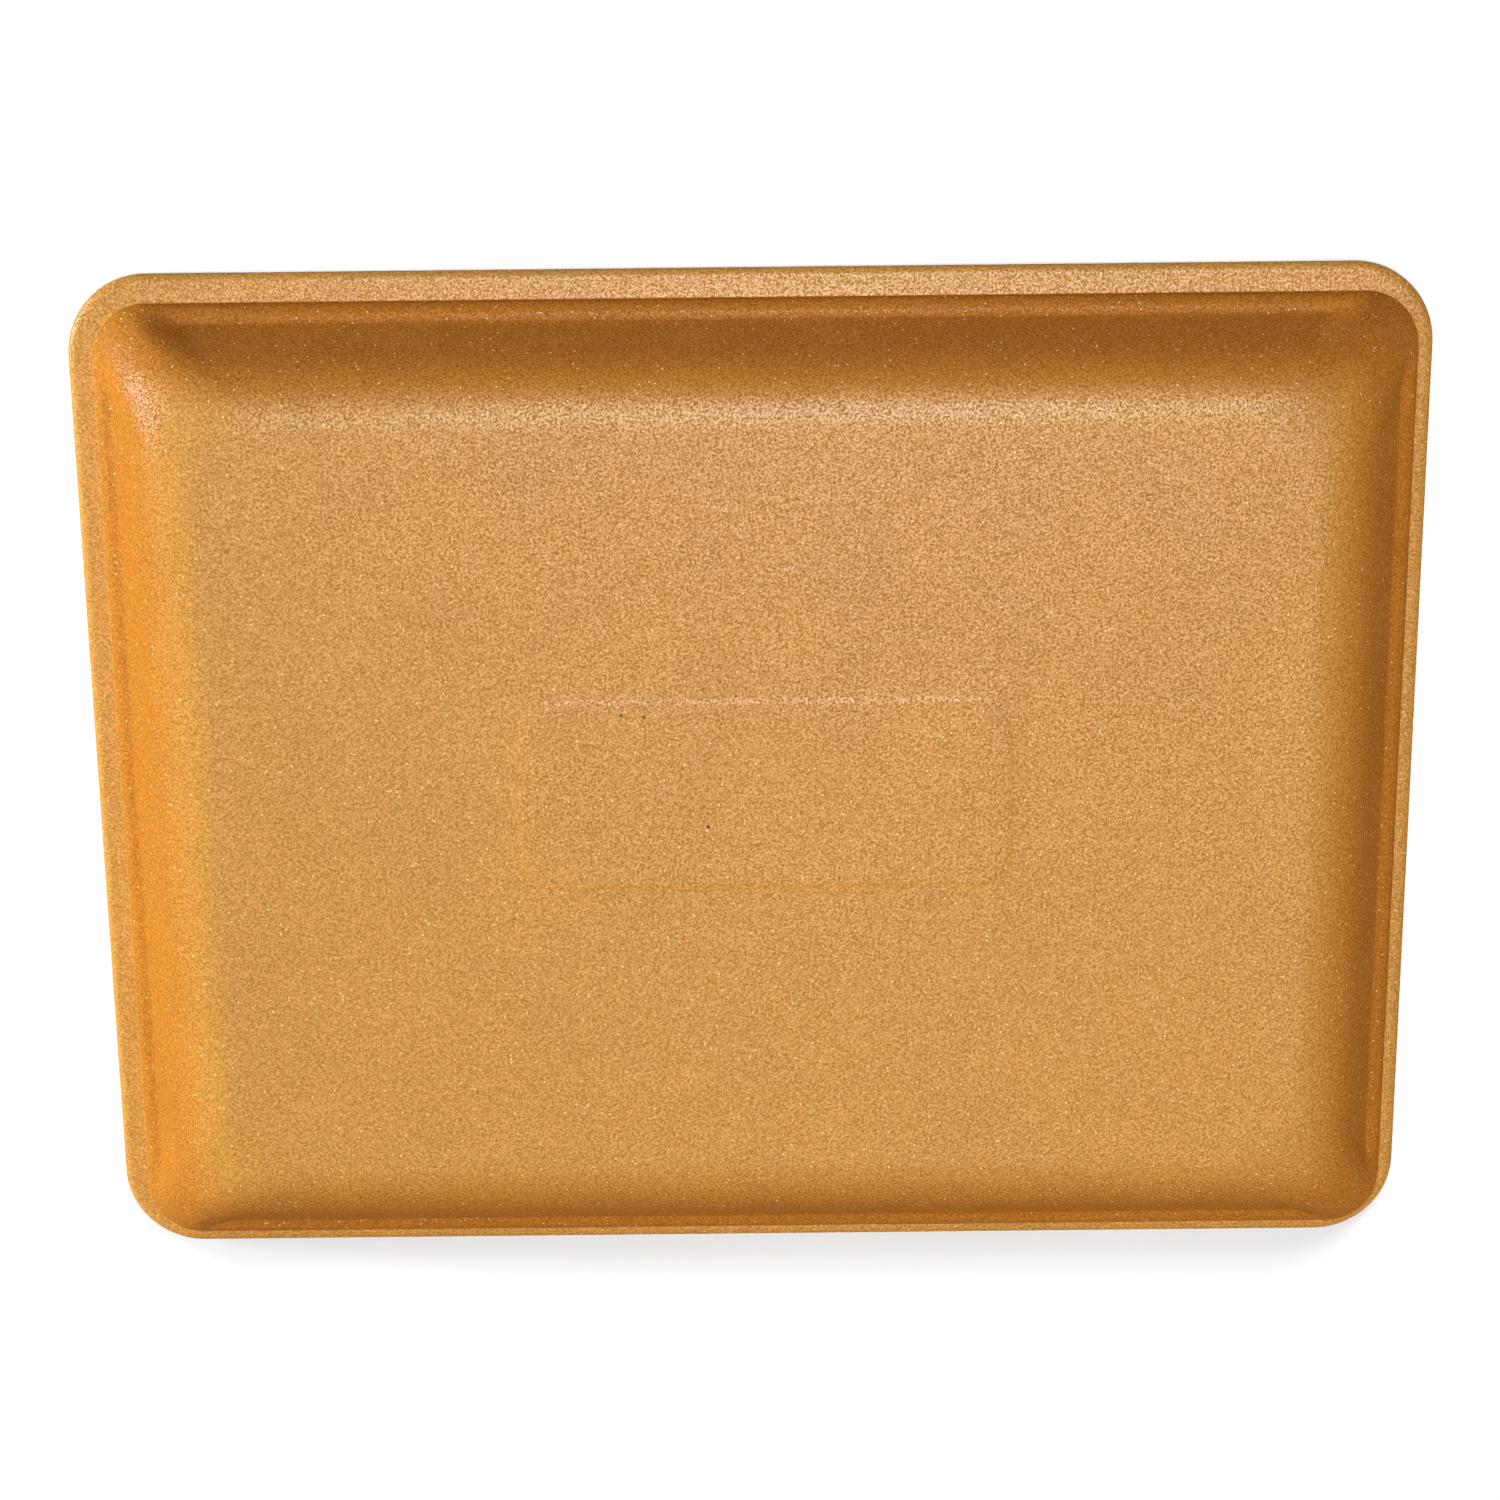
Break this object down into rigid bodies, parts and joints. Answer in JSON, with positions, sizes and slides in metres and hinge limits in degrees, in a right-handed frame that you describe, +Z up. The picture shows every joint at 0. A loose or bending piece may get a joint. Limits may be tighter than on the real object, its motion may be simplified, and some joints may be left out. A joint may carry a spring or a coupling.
{
  "type": "foam food tray",
  "caption": "Shallow rectangular foam tray with rounded corners, a flat rim, a stepped shoulder and a soft rolled base, stored upturned on its rim.",
  "frame": {"origin": "centre of the rim's outline, on the plane the upturned rim rests on", "axes": "+X along the long side, +Y along the short side, +Z up, out of the underside of the base"},
  "size_m": [0.31, 0.2346, 0.0285],
  "materials": {
    "foam": "fine grained pearly gold foam skin"
  },
  "bodies": {
    "root": {"tray": "foam"}
  },
  "joints": []
}
